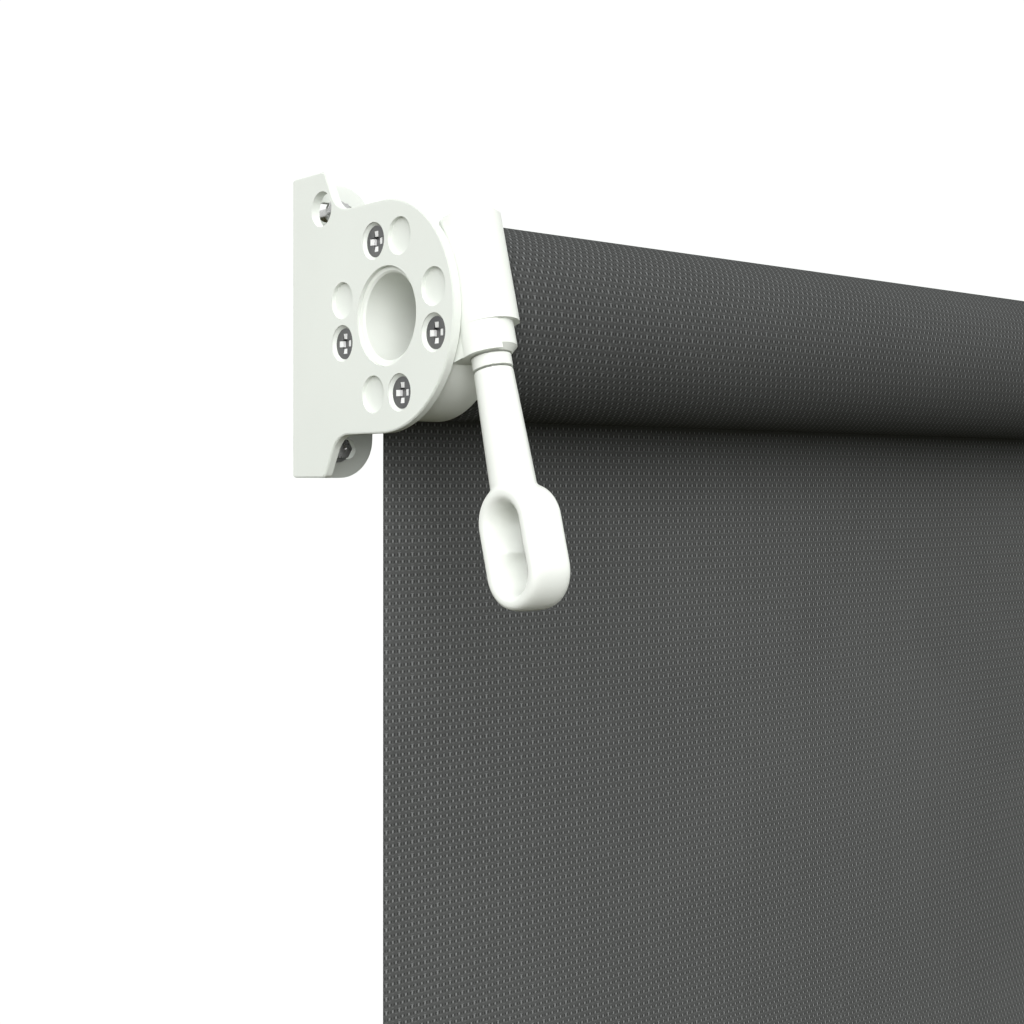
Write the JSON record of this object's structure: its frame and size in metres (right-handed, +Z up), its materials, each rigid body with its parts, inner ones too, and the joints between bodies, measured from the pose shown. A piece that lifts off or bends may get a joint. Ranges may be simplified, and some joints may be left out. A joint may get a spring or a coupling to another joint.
{
  "type": "roller blind",
  "caption": "Wall-mounted screen-cloth roller blind with side brackets, a worm gearbox turned by a crank eye, an aluminium tube and a weighted hem bar.",
  "frame": {"origin": "on the wall plane, at the centre of the four wall screws", "axes": "+X along the roller from the gear side to the plain side, +Y into the wall, +Z up; the blind's front faces -Y"},
  "size_m": [1, 0.1316, 1.0768],
  "materials": {
    "white_coat": "satin powder coat, slightly warm white",
    "zinc_steel": "bright zinc plate",
    "dark_steel": "dark plated steel, satin",
    "white_case": "satin white coat on a die-cast case",
    "white_eye": "smooth satin-gloss white moulding",
    "bronze": "machined bronze",
    "gear_steel": "machined steel, oiled",
    "bush_plastic": "natural bearing plastic",
    "black_plastic": "black moulding",
    "tube_aluminium": "mill finish",
    "welt_plastic": "extruded plastic cord",
    "screen_cloth": "charcoal screen weave of coated yarn with lighter dashes",
    "bearing_steel": "polished bearing steel",
    "cage_brass": "pressed brass",
    "white_bar": "satin powder coat on extruded aluminium",
    "white_cap": "moulded end cap"
  },
  "bodies": {
    "frame": {"drive_bracket": "white_coat", "drive_wall_screws": "zinc_steel", "drive_gear_screws": "dark_steel", "gearbox_body": "white_case", "gearbox_cover": "white_case", "gearbox_case_screws": "dark_steel", "upper_worm_bush": "bush_plastic", "lower_worm_bush": "bush_plastic", "bearing_inner_ring": "bearing_steel", "bearing_clip": "dark_steel", "idler_support": "white_case", "idler_support_screws": "dark_steel", "idler_bracket": "white_coat", "idler_wall_screws": "zinc_steel"},
    "roller": {"worm_wheel": "bronze", "tube_adapter": "black_plastic", "tube": "tube_aluminium", "tube_welt_rod": "welt_plastic", "cloth_roll": "screen_cloth", "idler_cap": "black_plastic", "bearing_outer_ring": "bearing_steel"},
    "ball_set": {"bearing_balls": "bearing_steel", "bearing_cage": "cage_brass"},
    "crank": {"worm": "gear_steel", "shaft_collar": "white_eye", "crank_eye": "white_eye", "eye_pin": "zinc_steel"},
    "hem": {"hem_bar": "white_bar", "hem_welt_rod": "welt_plastic", "hem_ballast_rod": "gear_steel", "hem_cap_left": "white_cap", "hem_cap_right": "white_cap", "cloth_sheet": "screen_cloth"}
  },
  "joints": [
    {"name": "roller_spin", "type": "hinge", "parent": "frame", "child": "roller", "pos_m": [0, -0.0514, 0], "axis": [1, 0, 0], "range_deg": [0, 1777.49]},
    {"name": "hem_lift", "type": "slide", "parent": "frame", "child": "hem", "axis": [0, 0, 1], "range_m": [0, 0.94], "deforming": ["cloth_sheet"]},
    {"name": "crank_turn", "type": "hinge", "parent": "frame", "child": "crank", "pos_m": [-0.4887, -0.08096, 0.00792], "axis": [0, 0.2588, 0.9659], "range_deg": [0, 19552.4]},
    {"name": "ball_run", "type": "hinge", "parent": "frame", "child": "ball_set", "pos_m": [0, -0.0514, 0], "axis": [1, 0, 0], "range_deg": [0, 1066.5]}
  ],
  "couplings": [
    {"joint": "hem_lift", "follows": "roller_spin", "m_per_rad": 0.0303},
    {"joint": "crank_turn", "follows": "roller_spin", "ratio": 11},
    {"joint": "ball_run", "follows": "roller_spin", "ratio": 0.6}
  ]
}
